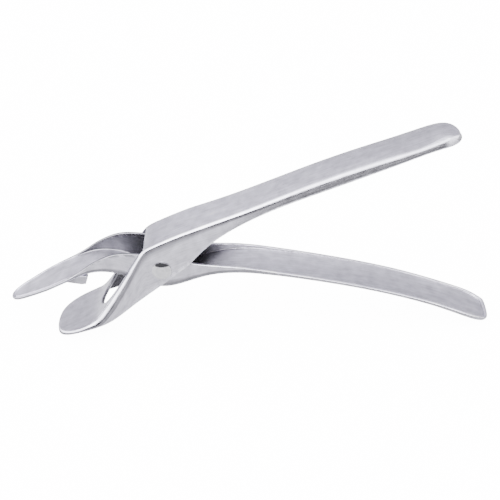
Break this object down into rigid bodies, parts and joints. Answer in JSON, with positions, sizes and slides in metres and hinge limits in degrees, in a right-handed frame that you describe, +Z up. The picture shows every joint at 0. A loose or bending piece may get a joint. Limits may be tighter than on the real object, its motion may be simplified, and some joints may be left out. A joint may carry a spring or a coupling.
{
  "type": "lobster cracker",
  "caption": "Plier-like seafood cracker: sheet-steel levers crossed at a rivet, with a spear-shaped upper jaw that closes on a windowed, hooked lower jaw.",
  "frame": {"origin": "centre of the tool's bounding box, at the level of the surface it stands on", "axes": "+X from the jaws to the handles, +Z up, +Y to the left looking along +X; the rivet lies along Y"},
  "size_m": [0.1936, 0.0316, 0.0861],
  "materials": {
    "outer_lever": "satin with polished folds",
    "inner_lever": "satin with polished folds",
    "rivet": "polished",
    "sleeve": "turned"
  },
  "bodies": {
    "upper_handle_lever": {"outer_lever": "outer_lever", "pivot_rivet": "rivet"},
    "lower_handle_lever": {"inner_lever": "inner_lever", "spacer_sleeve": "sleeve"}
  },
  "joints": [
    {"name": "pivot", "type": "hinge", "parent": "upper_handle_lever", "child": "lower_handle_lever", "pos_m": [-0.03325, 0, 0.03116], "axis": [0, -1, 0], "range_deg": [-2, 19]}
  ]
}
